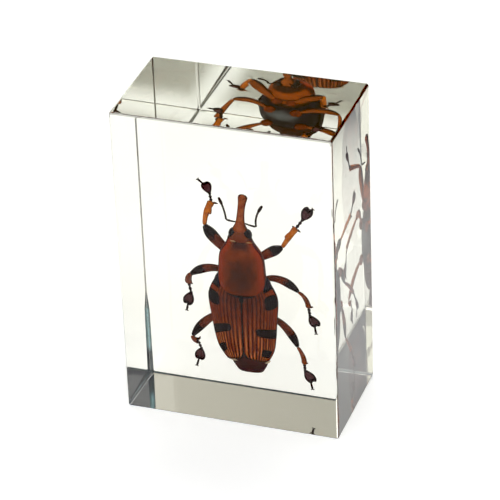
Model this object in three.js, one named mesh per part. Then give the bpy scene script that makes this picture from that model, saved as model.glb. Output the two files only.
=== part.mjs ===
// A clear cast-resin block that stands on its small end face, modelled in
// millimetres with +Z up. The origin is the centre of the foot face, and the
// large viewing faces look along -Y (front) and +Y (back).
import * as THREE from "three";
import { RoundedBoxGeometry } from "three/addons/geometries/RoundedBoxGeometry.js";

const BLOCK_WIDTH = 40; // along X
const BLOCK_DEPTH = 21.7; // along Y, front viewing face to back
const BLOCK_HEIGHT = 60.5; // along Z, foot face to top
const EDGE_RADIUS = 0.6; // polished round on every edge and corner
const EDGE_SEGMENTS = 5; // facets around a quarter turn of that round

const RESIN_COLOUR = 0xf4f5ea;
const RESIN_ROUGHNESS = 0.03;
const RESIN_OPACITY = 0.3;

function resinMaterial() {
  return new THREE.MeshStandardMaterial({
    color: RESIN_COLOUR,
    roughness: RESIN_ROUGHNESS,
    metalness: 0,
    transparent: true,
    opacity: RESIN_OPACITY,
  });
}

// The casting is one solid with flat polished faces. RoundedBoxGeometry takes
// its sizes in X, Y, Z order and is centred, so the mesh is lifted by half its
// height to stand on the origin.
function resinBlock() {
  const geometry = new RoundedBoxGeometry(
    BLOCK_WIDTH,
    BLOCK_DEPTH,
    BLOCK_HEIGHT,
    EDGE_SEGMENTS,
    EDGE_RADIUS,
  );
  const block = new THREE.Mesh(geometry, resinMaterial());
  block.name = "resin_block";
  block.position.z = BLOCK_HEIGHT / 2;
  return block;
}

const specimenBlock = new THREE.Group();
specimenBlock.add(resinBlock());

export default specimenBlock;
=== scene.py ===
"""A bamboo snout weevil cast in a clear resin block, dressed and lit for a studio view.

Everything is in metres in the frame of the CAD block: +Z up, the origin at the centre of the
foot face and the large viewing faces along -Y (front) and +Y (back). The weevil is shaped in
millimetres and scaled when a piece is finished. It hangs head up with its back to the front face.
"""
import logging
import math
from collections.abc import Callable, Mapping, Sequence
from dataclasses import dataclass, field
from enum import Enum

import bmesh
import bpy
from mathutils import Matrix, Vector


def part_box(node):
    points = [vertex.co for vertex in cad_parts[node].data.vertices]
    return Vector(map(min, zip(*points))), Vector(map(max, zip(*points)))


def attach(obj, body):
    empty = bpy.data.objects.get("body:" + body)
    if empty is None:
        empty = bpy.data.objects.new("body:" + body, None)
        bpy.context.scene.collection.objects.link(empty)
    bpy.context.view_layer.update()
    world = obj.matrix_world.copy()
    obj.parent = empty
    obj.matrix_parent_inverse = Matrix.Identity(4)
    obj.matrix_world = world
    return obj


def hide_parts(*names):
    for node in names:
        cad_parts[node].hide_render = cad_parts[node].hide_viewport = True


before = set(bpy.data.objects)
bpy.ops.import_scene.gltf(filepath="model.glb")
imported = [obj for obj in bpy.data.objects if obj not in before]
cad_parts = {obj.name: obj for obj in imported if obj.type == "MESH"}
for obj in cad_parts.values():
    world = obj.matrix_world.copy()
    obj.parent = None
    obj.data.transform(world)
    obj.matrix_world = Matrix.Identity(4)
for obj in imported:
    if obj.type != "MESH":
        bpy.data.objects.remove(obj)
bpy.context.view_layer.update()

LOG = logging.getLogger("weevil_block")
MM = 0.001  # metres in a millimetre
TINY = 1e-3  # a gap in millimetres that counts as none
NOISE_ROUGHNESS = 0.55  # how much each finer octave of a noise counts

Colour = tuple[float, float, float]
Point = tuple[float, float, float]
Band = tuple[float, float]


class Slot(Enum):
    """The record's material slots."""

    RESIN = "clear_resin"
    CUTICLE = "weevil_cuticle"
    DARK = "weevil_dark"


class Side(Enum):
    """The two sides of the weevil as the front face shows them."""

    LEFT = -1
    RIGHT = 1


# ---- Shader maths ----


def paint(red: int, green: int, blue: int) -> Colour:
    """Turn a screen colour of 0 to 255 a channel into the linear colour that shaders take."""
    return tuple(
        c / 12.92 if c <= 0.04045 else ((c + 0.055) / 1.055) ** 2.4
        for c in (red / 255, green / 255, blue / 255)
    )


def operator(operation: str, swapped: bool = False) -> Callable[..., "Signal"]:
    """Make a method of Signal that adds one Math node, with the signal last where swapped."""

    def method(self: "Signal", *others: "Feed") -> "Signal":
        """Add the node."""
        return self.bench.maths(operation, *((*others, self) if swapped else (self, *others)))

    return method


class Signal:
    """One output socket of a node tree, with Python's operators as Math nodes."""

    def __init__(self, bench: "Bench", socket: bpy.types.NodeSocket) -> None:
        """Hold a socket and the bench that its tree is built on."""
        self.bench = bench
        self.socket = socket

    __add__ = __radd__ = operator("ADD")
    __sub__ = operator("SUBTRACT")
    __rsub__ = operator("SUBTRACT", swapped=True)
    __mul__ = __rmul__ = operator("MULTIPLY")
    __truediv__ = operator("DIVIDE")
    __pow__ = operator("POWER")
    __abs__ = operator("ABSOLUTE")
    fraction = operator("FRACT")
    larger = operator("MAXIMUM")
    smaller = operator("MINIMUM")

    def rise(self, start: float, end: float) -> "Signal":
        """Climb smoothly from 0 at start to 1 at end, or fall where end lies below start."""
        sockets = {"Value": self, "From Min": min(start, end), "From Max": max(start, end)}
        if start > end:
            sockets |= {"To Min": 1.0, "To Max": 0.0}
        return self.bench.node("ShaderNodeMapRange", {"interpolation_type": "SMOOTHSTEP"}, sockets)


Feed = Signal | float | Sequence[float]


class Bench:
    """A material or world whose node tree is being built."""

    def __init__(self, owner: bpy.types.Material | bpy.types.World) -> None:
        """Empty the owner's node tree."""
        owner.use_nodes = True
        self.owner = owner
        self.tree = owner.node_tree
        self.tree.nodes.clear()

    def node(
        self,
        kind: str,
        settings: Mapping[str, object] | None = None,
        sockets: Mapping[str | int, Feed] | None = None,
        output: str | int = 0,
    ) -> Signal:
        """Add a node.

        Args:
            kind: the node's type name.
            settings: its own settings, set first.
            sockets: the values or signals of its inputs.
            output: the output that the signal stands for.

        Returns:
            The signal of that output.
        """
        made = self.tree.nodes.new(kind)
        for name, value in (settings or {}).items():
            setattr(made, name, value)
        for name, value in (sockets or {}).items():
            self._feed(made.inputs[name], value)
        return Signal(self, made.outputs[output]) if len(made.outputs) else Signal(self, None)

    def _feed(self, socket: bpy.types.NodeSocket, value: Feed) -> None:
        """Link a signal to an input, or set the input's value."""
        if isinstance(value, Signal):
            self.tree.links.new(value.socket, socket)
        elif isinstance(value, (int, float)):
            socket.default_value = value
        else:
            width = len(socket.default_value)
            socket.default_value = (*value, 1.0)[:width] if width == 4 else tuple(value)

    def maths(self, operation: str, *values: Feed) -> Signal:
        """Add a Math node."""
        return self.node("ShaderNodeMath", {"operation": operation}, dict(enumerate(values)))

    def mix(self, factor: Feed, first: Feed, second: Feed) -> Signal:
        """Mix two colours, from the first at a factor of 0 to the second at 1."""
        settings = {"data_type": "RGBA", "clamp_factor": True}
        return self.node("ShaderNodeMix", settings, {0: factor, 6: first, 7: second}, output=2)

    def place(self, centre: Point = (0, 0, 0), scale: Point = (1, 1, 1), turn: float = 0.0) -> Signal:
        """Give the piece's own coordinates in millimetres.

        Args:
            centre: the point, in millimetres, that becomes the origin.
            scale: how the axes are stretched afterwards.
            turn: the turn about Z in radians that comes before the stretch.

        Returns:
            The coordinates.
        """
        raw = self.node("ShaderNodeTexCoord", output="Object")
        size = {"Location": tuple(-c for c in centre), "Scale": (1 / MM, 1 / MM, 1 / MM)}
        millimetres = self.node("ShaderNodeMapping", None, {"Vector": raw, **size})
        turned = {"Vector": millimetres, "Rotation": (0.0, 0.0, turn), "Scale": scale}
        return self.node("ShaderNodeMapping", None, turned)

    def axes(self, vector: Signal) -> tuple[Signal, Signal, Signal]:
        """Split a vector into its three parts."""
        split = self.node("ShaderNodeSeparateXYZ", None, {0: vector}).socket.node
        return tuple(Signal(self, split.outputs[i]) for i in range(3))

    def attribute(self, name: str) -> Signal:
        """Read a number that a piece carries at its vertices."""
        return self.node("ShaderNodeAttribute", {"attribute_name": name}, output="Fac")

    def noise(self, where: Signal, scale: float, detail: float = 3.0) -> Signal:
        """Add fractal noise of about 0 to 1."""
        sockets = {"Vector": where, "Scale": scale, "Detail": detail, "Roughness": NOISE_ROUGHNESS}
        return self.node("ShaderNodeTexNoise", None, sockets)

    def cells(self, where: Signal, scale: float) -> Signal:
        """Add Voronoi cells as the distance from each cell's own point."""
        return self.node("ShaderNodeTexVoronoi", None, {"Vector": where, "Scale": scale})

    def bump(self, height: Signal, depth_mm: float, under: Signal | None = None) -> Signal:
        """Turn a height of 0 to 1 into a normal.

        Args:
            height: the height signal.
            depth_mm: how far the surface moves as the height goes from 0 to 1.
            under: a normal that this bump is laid over.

        Returns:
            The normal.
        """
        sockets = {"Height": height, "Distance": depth_mm * MM, "Strength": 1.0}
        if under is not None:
            sockets["Normal"] = under
        return self.node("ShaderNodeBump", None, sockets)

    def surface(self, sockets: Mapping[str, Feed]) -> Signal:
        """Add the Principled shader."""
        return self.node("ShaderNodeBsdfPrincipled", None, sockets)

    def output(self, surface: Signal, volume: Signal | None = None) -> None:
        """Add the material output."""
        sockets = {"Surface": surface}
        if volume is not None:
            sockets["Volume"] = volume
        self.node("ShaderNodeOutputMaterial", None, sockets)


# ---- Finishes ----


@dataclass(frozen=True)
class ResinFinish:
    """Clear polished casting resin with rough, ground edges, painted dark slate as a painted reflection and
    pale teal as a painted highlight.

    A band is the pair of distances in millimetres between which a part of the finish sets in.

    Attributes:
        half: half of the block's size.
        middle: the height of the block's middle.
        ground_share: how much of the rough edge with its painted reflection covers the foot's back edge and
            the low uprights.
        upright_share: the same for the back uprights further up.
        rim_share: the same for the foot's left edge and the top's front edge.
        edge_band: where the faces' own polish sets in, from their edges.
        back_band: the painted edge strip, from the back face.
        end_gap: where that strip begins, from the foot and the top.
        end_band: the painted edge rims of the foot and the top, from those faces.
        rim_band: those rims, from the faces beside them.
        slate_from: the heights between which the slate painted reflection sets in, in shares of half the
            block's.
        teal_top: the same for the top of the stretch with the painted teal highlight.
        teal_foot: the same for its foot.
        teal_band: where that highlight thickens, from the back face.
        teal_least: how much of it there is before that band.
    """

    half: Point
    middle: float
    ior: float = 1.56
    tint: Colour = (0.95, 0.94, 0.4)
    density_per_metre: float = 4.0
    ripple_mm: float = 0.0006
    grit_mm: float = 0.02
    polish_roughness: float = 0.15
    ground_roughness: float = 0.5
    ground_ior: float = 1.2
    # The edge colours are painted: ground and slate are painted reflections of the dark room, and the teal
    # colour is a painted highlight.
    ground: Colour = (0.1, 0.095, 0.085)
    slate: Colour = (0.08, 0.12, 0.15)
    teal_patch_colour: Colour = (0.5, 0.88, 1.0)
    ground_share: float = 0.92
    upright_share: float = 0.75
    rim_share: float = 0.4
    edge_band: Band = (0.004, 0.03)
    back_band: Band = (4.0, 2.5)
    end_gap: Band = (0.4, 0.9)
    end_band: Band = (1.0, 0.8)
    rim_band: Band = (1.8, 1.2)
    slate_from: Band = (-0.4, -0.5)
    teal_top: Band = (-0.5, -0.57)
    teal_foot: Band = (-0.87, -0.8)
    teal_band: Band = (0.1, 0.35)
    teal_least: float = 0.3

    def make(self) -> bpy.types.Material:
        """Build the material."""
        bench = Bench(bpy.data.materials.new("clear_resin"))
        ripple = bench.noise(bench.place(), scale=0.18, detail=2.0)
        parts = bench.axes(bench.place(centre=(0, 0, self.middle)))
        insets = [half - abs(part) for half, part in zip(self.half, parts)]
        edge = insets[0].smaller(insets[1]).smaller(insets[2]).rise(*self.edge_band)
        clear = bench.surface({
            "Base Color": (1.0, 1.0, 1.0),
            "Roughness": edge * self.polish_roughness,
            "IOR": self.ior,
            "Transmission Weight": 1.0,
            "Normal": bench.bump(ripple, self.ripple_mm),
        })
        # Painted reflection and highlight: the ground edges are rough, and their dark colour, slate low on
        # the uprights, and their pale teal stretch are painted in.
        grit = bench.noise(bench.place(), scale=2.5, detail=4.0)
        height = parts[2] / self.half[2]
        low = height.rise(*self.slate_from)
        teal_patch = height.rise(*self.teal_top) * height.rise(*self.teal_foot) * grit.rise(0.25, 0.45)
        thickness = self._towards(parts, 1, 1, self.teal_band)
        teal_patch = teal_patch * (thickness * (1 - self.teal_least) + self.teal_least)
        painted_dull_edge = bench.surface({
            "Base Color": bench.mix(teal_patch, bench.mix(low, self.ground, self.slate), self.teal_patch_colour),
            "Roughness": self.ground_roughness,
            "IOR": self.ground_ior,
            "Normal": bench.bump(grit, self.grit_mm),
        })
        share = edge * self._painted_edge_share(parts, low, insets[2].rise(*self.end_gap))
        mixed = bench.node("ShaderNodeMixShader", None, {0: share, 1: clear, 2: painted_dull_edge})
        absorb = {"Color": self.tint, "Density": self.density_per_metre}
        bench.output(mixed, bench.node("ShaderNodeVolumeAbsorption", None, absorb))
        return bench.owner

    def _towards(self, parts: Sequence[Signal], axis: int, end: int, band: Band) -> Signal:
        """Climb to 1 near the high (1) or the low (-1) end of an axis, over a band from it."""
        return parts[axis].rise(*(end * (self.half[axis] - distance) for distance in band))

    def _painted_edge_share(self, parts: Sequence[Signal], low: Signal, between: Signal) -> Signal:
        """Join the strips along the block's edges that carry the rough edge with its painted reflection.

        Args:
            parts: the coordinates from the block's middle.
            low: how far down the uprights the edge is ground most, with its slate painted reflection.
            between: 1 between the foot and the top and 0 at them.

        Returns:
            How much of the painted edge shows.
        """
        at_foot = self._towards(parts, 2, -1, self.end_band)
        foot_back = at_foot * self._towards(parts, 1, 1, self.rim_band)
        foot_left = at_foot * self._towards(parts, 0, -1, self.rim_band)
        at_top = self._towards(parts, 2, 1, self.end_band)
        top_front = at_top * self._towards(parts, 1, -1, self.rim_band)
        at_back = self._towards(parts, 1, 1, self.back_band) * between
        upright = at_back * (low * (self.ground_share - self.upright_share) + self.upright_share)
        rims = foot_left.larger(top_front) * self.rim_share
        return upright.larger(foot_back * self.ground_share).larger(rims)


@dataclass(frozen=True)
class CuticleFinish:
    """Waxy brown insect cuticle with fine punctures and cloudy colour."""

    name: str
    main: Colour
    shade: Colour
    roughness: float = 0.42
    coat: float = 0.03
    ior: float = 1.06
    puncture_scale: float = 3.2
    puncture_mm: float = 0.018
    cloud_scale: float = 0.9
    fine_scale: float = 7.0
    fine_share: float = 0.35
    fine_mm: float = 0.012
    coat_roughness: float = 0.2
    roughness_swing: float = 0.08

    def start(self) -> tuple[Bench, Signal, Signal]:
        """Begin the material.

        Returns:
            The bench, the cloudy colour and the fine surface normal.
        """
        bench = Bench(bpy.data.materials.new(self.name))
        where = bench.place()
        cloud = bench.noise(where, scale=self.cloud_scale, detail=4.0)
        fine = bench.noise(where, scale=self.fine_scale, detail=3.0)
        colour = bench.mix(cloud.rise(0.32, 0.68), self.main, self.shade)
        colour = bench.mix(fine.rise(0.35, 0.75) * self.fine_share, colour, self.shade)
        pits = bench.cells(where, self.puncture_scale).rise(0.12, 0.42)
        normal = bench.bump(pits, self.puncture_mm)
        normal = bench.bump(fine, self.fine_mm, under=normal)
        return bench, colour, normal

    def end(self, bench: Bench, colour: Signal, normal: Signal) -> bpy.types.Material:
        """Close the material with its shader.

        Args:
            bench: the bench that start gave.
            colour: the finished colour.
            normal: the finished normal.

        Returns:
            The material.
        """
        grain = bench.noise(bench.place(), scale=3.0, detail=3.0)
        smoothest = self.roughness - self.roughness_swing
        bench.output(bench.surface({
            "Base Color": colour,
            "Roughness": grain.rise(0.2, 0.8) * (2 * self.roughness_swing) + smoothest,
            "Coat Weight": self.coat,
            "Coat Roughness": self.coat_roughness,
            "IOR": self.ior,
            "Normal": normal,
        }))
        return bench.owner

    def make(self) -> bpy.types.Material:
        """Build the plain material."""
        return self.end(*self.start())


@dataclass(frozen=True)
class PronotumFinish(CuticleFinish):
    """Cuticle with a smoky middle, a dark collar, glowing red-orange sides and painted shade: a dark
    outline at its sides and along its rear edge.
    """

    flank: Colour = paint(176, 62, 28)
    smoke: Colour = paint(62, 32, 20)
    collar: Colour = paint(50, 24, 24)
    # The margin colour is painted shade.
    margin: Colour = paint(30, 16, 18)
    breast: Colour = paint(190, 92, 34)
    girdle: Colour = paint(26, 22, 26)
    centre: Point = (1.75, -5.0, 29.2)
    smoke_spread: tuple[float, float] = (8.0, 16.0)
    smoke_share: float = 0.78
    collar_share: float = 0.85
    girdle_share: float = 0.9

    def make(self) -> bpy.types.Material:
        """Build the material."""
        bench, colour, normal = self.start()
        around = abs(bench.attribute("across"))
        along = bench.attribute("along")
        across, _, up = bench.axes(bench.place(centre=self.centre))
        haze = bench.noise(bench.place(), scale=0.5, detail=3.0) - 0.5
        flank = (around + haze * 0.3).rise(0.55, 0.92)
        colour = bench.mix(flank, colour, self.flank)
        wide, tall = self.smoke_spread
        middle = (across * across / wide + up * up / tall + haze * 0.9).rise(1.4, 0.0)
        colour = bench.mix(middle * self.smoke_share, colour, self.smoke)
        collar = (along + haze * 0.05).rise(0.8, 0.95) * (around + haze * 0.3).rise(0.85, 0.3)
        colour = bench.mix(collar * self.collar_share, colour, self.collar)
        # Painted shade: a dark line along the rear edge, in the gap before the wing cases, and a dark
        # outline where the sides turn away.
        rim = (along + haze * 0.02).rise(0.1, 0.055).larger(around.rise(0.9, 0.985) * 0.85)
        colour = bench.mix(rim, colour, self.margin)
        bands = along + haze * 0.04
        stripe = bands.rise(0.53, 0.56) * bands.rise(0.63, 0.6)
        dark = bands.rise(0.45, 0.4).larger(stripe).larger(bands.rise(0.8, 0.86))
        belly = bench.attribute("down").rise(-0.05, 0.25)
        breast = bench.mix(dark * self.girdle_share, self.breast, self.girdle)
        colour = bench.mix(belly, colour, breast)
        return self.end(bench, colour, normal)


@dataclass(frozen=True)
class BreastFinish(CuticleFinish):
    """Black cuticle with a painted sheen on its underside: a soft pale patch that paints in the silvery
    reflection of trapped air.

    Attributes:
        centre: the middle of the patch.
        half_width: half of its width.
        half_length: half of its length.
        air_film_sheen_share: how much of that painted sheen shows.
    """

    air_film_sheen: Colour = paint(150, 158, 162)
    centre: Point = (0.8, 2.4, 24.0)
    half_width: float = 3.6
    half_length: float = 2.6
    air_film_sheen_share: float = 0.65

    def make(self) -> bpy.types.Material:
        """Build the material."""
        bench, colour, normal = self.start()
        across, _, up = bench.axes(bench.place(centre=self.centre))
        across = across / self.half_width
        up = up / self.half_length
        haze = bench.noise(bench.place(), scale=0.8, detail=3.0) - 0.5
        # Painted reflection: a pale patch for the silvery look of trapped air on the underside.
        patch = (across * across + up * up + haze * 0.9).rise(1.3, -0.4)
        air_film_sheen = patch * bench.attribute("down").rise(0.2, 0.5)
        return self.end(bench, bench.mix(air_film_sheen * self.air_film_sheen_share, colour, self.air_film_sheen), normal)


@dataclass(frozen=True)
class Mark:
    """A black mark on a wing case, in the case's own across and along fractions."""

    across: float
    along: float
    half_width: float
    half_length: float
    slant: float = 0.0


@dataclass(frozen=True)
class ElytronFinish(CuticleFinish):
    """Ribbed wing case with dark grooves, orange streaks at the tail, black marks and painted shade along
    its edges.
    """

    streak: Colour = paint(246, 138, 64)
    flank: Colour = paint(196, 60, 30)
    smoke: Colour = paint(58, 36, 36)
    groove: Colour = paint(28, 12, 14)
    black: Colour = paint(20, 17, 20)
    grooves: int = 14
    pits_along: int = 64
    marks: tuple[Mark, ...] = ()
    rim: float = 0.9
    flank_share: float = 0.4
    smoke_share: float = 0.5
    pit_share: float = 0.5
    pit_mm: float = 0.05

    def make(self) -> bpy.types.Material:
        """Build the material."""
        bench, colour, normal = self.start()
        across = bench.attribute("across")
        along = bench.attribute("along")
        where = bench.place()
        wander = bench.noise(where, scale=0.8, detail=2.0) - 0.5
        lane = abs((across * self.grooves).fraction() - 0.5)
        grooved = lane.rise(0.26, 0.44)
        crest = lane.rise(0.3, 0.05)
        rib = bench.noise(bench.place(scale=(1.6, 1.0, 0.16)), scale=1.0, detail=2.0)
        fade = (along + wander * 0.3).rise(0.3, 0.9) * 0.85 + 0.12
        colour = bench.mix(across.rise(0.45, 0.75) * self.flank_share, colour, self.flank)
        colour = bench.mix(crest * fade * rib.rise(0.3, 0.6), colour, self.streak)
        front = (along + wander * 0.2).rise(0.45, 0.05) * across.rise(0.5, 0.15)
        colour = bench.mix(front * self.smoke_share, colour, self.smoke)
        depth = along.rise(0.5, 0.9) * 0.45 + 0.45
        colour = bench.mix(grooved * depth, colour, self.groove)
        pit = (along * self.pits_along).fraction()
        pitted = abs(pit - 0.5).rise(0.35, 0.15) * grooved
        colour = bench.mix(pitted * self.pit_share, colour, self.black)
        # The black marks are the case's own colour; the dark edges joined with them are painted shade.
        black = self._marks_and_painted_shade(across, along, wander)
        colour = bench.mix(black, colour, self.black)
        normal = bench.bump(pitted, -self.pit_mm, under=normal)
        return self.end(bench, colour, normal)

    def _marks_and_painted_shade(self, across: Signal, along: Signal, wander: Signal) -> Signal:
        """Join the black marks, which are the case's own colour, with the painted shade along its outer
        rim, suture, tail edge and shoulders.

        Args:
            across: the across fraction.
            along: the along fraction.
            wander: a noise about zero that roughens the outlines.

        Returns:
            How black the case is.
        """
        # Painted shade: a dark outline at the outer rim, dark lines at the suture and the tail edge, and a
        # dark wedge where the cases part at the tail.
        total = (across + wander * 0.04).rise(self.rim - 0.04, self.rim + 0.03)
        total = total.larger(across.rise(0.01, 0.003) * 0.9).larger(along.rise(0.955, 0.99) * 0.85)
        total = total.larger((across - (along - 0.87) * 0.4).rise(0.015, -0.01))
        # Painted shade along the front edge at the shoulders, in the gap under the shield.
        shoulder = (along + wander * 0.03).rise(0.045, 0.025) * (across + wander * 0.1).rise(0.38, 0.46)
        total = total.larger(shoulder)
        for mark in self.marks:
            sideways = abs(across - mark.across) / mark.half_width
            middle = mark.along + (across - mark.across) * mark.slant
            lengthways = abs(along - middle) / mark.half_length
            reach = sideways**4.0 + lengthways**4.0 + wander * 0.9
            total = total.larger(reach.rise(1.25, 0.75))
        return total


@dataclass(frozen=True)
class LimbFinish(CuticleFinish):
    """Cuticle of a leg segment that turns dark towards one end, with painted shade as a dark outline along
    its sides.

    Attributes:
        tip: the dark end's colour.
        turn: the along value at which it turns dark.
        blur: how far that turn runs to each side.
        root: the other end's own colour, if it has one.
        root_turn: the along value at which that ends.
        rim: how dark the painted outline shade along the sides is.
        under: the underside's colour.
        belly_clear: how much less dark the underside's end is.
    """

    tip: Colour = paint(24, 22, 25)
    turn: float = 0.6
    blur: float = 0.08
    root: Colour | None = None
    root_turn: float = 0.2
    rim: float = 0.6
    under: Colour = paint(190, 98, 38)
    belly_clear: float = 0.8

    def make(self) -> bpy.types.Material:
        """Build the material."""
        bench, colour, normal = self.start()
        along = bench.attribute("along")
        wander = bench.noise(bench.place(), scale=1.2, detail=2.0) - 0.5
        if self.root is not None:
            rooted = (along + wander * 0.1).rise(self.root_turn, self.root_turn - 0.15)
            colour = bench.mix(rooted, colour, self.root)
        # Painted shade: a dark outline where the sides turn away.
        rim = (abs(bench.attribute("across")) + wander * 0.15).rise(0.6, 1.0)
        colour = bench.mix(rim * self.rim, colour, self.tip)
        down = bench.attribute("down")
        colour = bench.mix(down.rise(0.2, 0.7) * 0.7, colour, self.under)
        dark = (along + wander * 0.25).rise(self.turn - self.blur, self.turn + self.blur)
        dark = dark * (1.0 - (down + wander * 0.4).rise(0.0, 0.5) * self.belly_clear)
        colour = bench.mix(dark, colour, self.tip)
        return self.end(bench, colour, normal)


@dataclass(frozen=True)
class FootFinish(CuticleFinish):
    """Near-black cuticle with a browner middle on the pads."""

    heart: Colour = paint(108, 68, 74)

    def make(self) -> bpy.types.Material:
        """Build the material."""
        bench, colour, normal = self.start()
        along = bench.attribute("along")
        across = abs(bench.attribute("across"))
        pad = along.rise(0.44, 0.52) * along.rise(0.76, 0.68) * across.rise(0.9, 0.4)
        return self.end(bench, bench.mix(pad * 0.8, colour, self.heart), normal)


@dataclass(frozen=True)
class FringeAndGlintFinish(CuticleFinish):
    """Pale golden hairs combed one way, whose pale colour also paints in the cream glints at the collar, a
    painted highlight.
    """

    def make(self) -> bpy.types.Material:
        """Build the material."""
        bench, colour, normal = self.start()
        hairs = bench.noise(bench.place(scale=(9.0, 9.0, 1.2)), scale=1.0, detail=2.0)
        colour = bench.mix(hairs.rise(0.6, 0.35) * 0.6, colour, self.shade)
        return self.end(bench, colour, bench.bump(hairs, 0.04, under=normal))


@dataclass(frozen=True)
class EyeFinish:
    """Black faceted eye."""

    colour: Colour = paint(14, 14, 17)
    bloom: Colour = paint(36, 34, 40)

    def make(self) -> bpy.types.Material:
        """Build the material."""
        bench = Bench(bpy.data.materials.new("eye_facets"))
        where = bench.place()
        facets = bench.cells(where, scale=11.0)
        bench.output(bench.surface({
            "Base Color": bench.mix(bench.noise(where, scale=2.0), self.colour, self.bloom),
            "Roughness": facets.rise(0.0, 0.8) * 0.2 + 0.16,
            "IOR": 1.2,
            "Normal": bench.bump(facets, -0.015),
        }))
        return bench.owner


@dataclass(frozen=True)
class FloorFinish:
    """Seamless white studio paper with painted light: it glows a little, more beside the block and under
    its front and left edges, less under its middle and far behind it, and is painted grey towards its far
    edges, a painted pool of light.

    Attributes:
        turn: the turn about Z of the white field.
        middle: how far back the middle of the white field lies, in millimetres.
        half_length: half of the field's length.
        shift: how far to the right its middle line lies.
        half_width: half of its width beside the block.
        spread: how much that half grows a millimetre further back.
        fade: where the paper is painted grey, the painted falloff of the pool of light, as the fourth
            powers of its sides' shares.
        foot: half of the block's foot face.
        foot_blur: how far in from the foot's edges the painted glow under it sets in.
        front_band: where the front edge's own painted glow sets in.
        left_band: where the left edge's own painted glow sets in.
        back_stretch: how far behind the block the painted glow changes.
        halo_reach: how far from the block the painted glow that fills its contact shadow reaches.
        open_glow: the painted glow of the open paper.
        back_glow: its painted glow well behind the block.
        halo: its painted glow right beside the block, which fills the block's contact shadow.
        deep_glow: its painted glow under the block's middle, low as a painted shadow.
        edge_glow: its painted light under the block's front and left edges.
    """

    turn: float
    middle: float = 92.0
    half_length: float = 165.0
    shift: float = -6.0
    half_width: float = 48.0
    spread: float = 0.07
    colour: Colour = (0.9, 0.9, 0.9)
    fibre: Colour = (0.84, 0.84, 0.83)
    far: Colour = (0.25, 0.26, 0.28)
    fade: Band = (1.5, 6.5)
    foot: tuple[float, float] = (20.0, 10.85)
    foot_blur: Band = (0.0, 0.3)
    front_band: Band = (9.0, 0.5)
    left_band: Band = (6.0, 0.5)
    back_stretch: Band = (15.0, 45.0)
    halo_reach: float = 18.0
    open_glow: Colour = (0.17, 0.17, 0.165)
    back_glow: Colour = (0.135, 0.13, 0.095)
    halo: Colour = (0.29, 0.29, 0.28)
    deep_glow: Colour = (0.03, 0.04, 0.05)
    edge_glow: Colour = (0.6, 0.62, 0.68)

    def make(self) -> bpy.types.Material:
        """Build the material."""
        bench = Bench(bpy.data.materials.new("studio_paper"))
        fibre = bench.noise(bench.place(), scale=0.6, detail=4.0)
        across, away, _ = bench.axes(bench.place(turn=-self.turn))
        sideways = abs(across - self.shift) / (away * self.spread + self.half_width)
        lengthways = abs(away - self.middle) / self.half_length
        beyond = (sideways**4.0 + lengthways**4.0).rise(*self.fade)
        shade = bench.mix(fibre * 0.5, self.colour, self.fibre)
        # Painted pool of light: the paper is painted grey beyond the white field.
        shade = bench.mix(beyond, shade, self.far)
        x, y, _ = bench.axes(bench.place())
        wide, deep = self.foot
        under = (wide - abs(x)).rise(*self.foot_blur) * (deep - abs(y)).rise(*self.foot_blur)
        near_edge = (y + deep).rise(*self.front_band).larger((x + wide).rise(*self.left_band))
        # Painted light: the paper's emission is lower far behind the block, raised beside it to fill its
        # contact shadow, low under its middle as a painted shadow and high under its front and left edges.
        glow = bench.mix(away.rise(*self.back_stretch), self.open_glow, self.back_glow)
        glow = bench.mix(beyond, glow, (0.0, 0.0, 0.0))
        beside = (abs(x) - wide).larger(abs(y) - deep).rise(self.halo_reach, 0.0)
        glow = bench.mix(beside, glow, self.halo)
        glow = bench.mix(under, glow, bench.mix(near_edge, self.deep_glow, self.edge_glow))
        bench.output(bench.surface({
            "Base Color": shade,
            "Roughness": 0.9,
            "Emission Color": glow,
            "Emission Strength": 1.0,
            "Normal": bench.bump(fibre, 0.01),
        }))
        return bench.owner


# ---- Shaping ----


def steps(first: float, last: float, count: int) -> list[float]:
    """Give evenly spaced numbers from the first to the last."""
    return [first + (last - first) * index / (count - 1) for index in range(count)]


def side_of(ahead: Vector) -> Vector:
    """Give the direction across a limb that points ahead, as the front face shows it."""
    return Vector((0, 1, 0)).cross(ahead).normalized()


def bowed(first: Vector, last: Vector, bow: Vector, count: int) -> list[Vector]:
    """Give points along an arc whose middle stands off the straight line by the bow."""
    return [first.lerp(last, share) + bow * (4 * share * (1 - share)) for share in steps(0.0, 1.0, count)]


def add_object(name: str, data: bpy.types.ID) -> bpy.types.Object:
    """Add an object to the scene."""
    made = bpy.data.objects.new(name, data)
    bpy.context.scene.collection.objects.link(made)
    return made


class Profile:
    """A smooth curve through a few (place, value) pairs."""

    def __init__(self, *points: tuple[float, float]) -> None:
        """Sort the points by place."""
        self.points = sorted(points)

    def __call__(self, place: float) -> float:
        """Read the value at a place, with level ends."""
        points = self.points
        if place <= points[0][0]:
            return points[0][1]
        if place >= points[-1][0]:
            return points[-1][1]
        index = next(i for i in range(len(points) - 1) if place <= points[i + 1][0])
        (x0, y0), (x1, y1) = points[index], points[index + 1]
        span = x1 - x0
        step = (place - x0) / span
        rise0 = self._slope(index) * span
        rise1 = self._slope(index + 1) * span
        square, cube = step * step, step**3
        return (
            (2 * cube - 3 * square + 1) * y0
            + (cube - 2 * square + step) * rise0
            + (3 * square - 2 * cube) * y1
            + (cube - square) * rise1
        )

    def spread(self, count: int, scale: float = 1.0) -> list[float]:
        """Give scaled values at evenly spaced places from 0 to 1."""
        return [scale * self(share) for share in steps(0.0, 1.0, count)]

    def _slope(self, index: int) -> float:
        """Give the slope at a point from its neighbours."""
        before = self.points[max(index - 1, 0)]
        after = self.points[min(index + 1, len(self.points) - 1)]
        return (after[1] - before[1]) / (after[0] - before[0])


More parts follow.
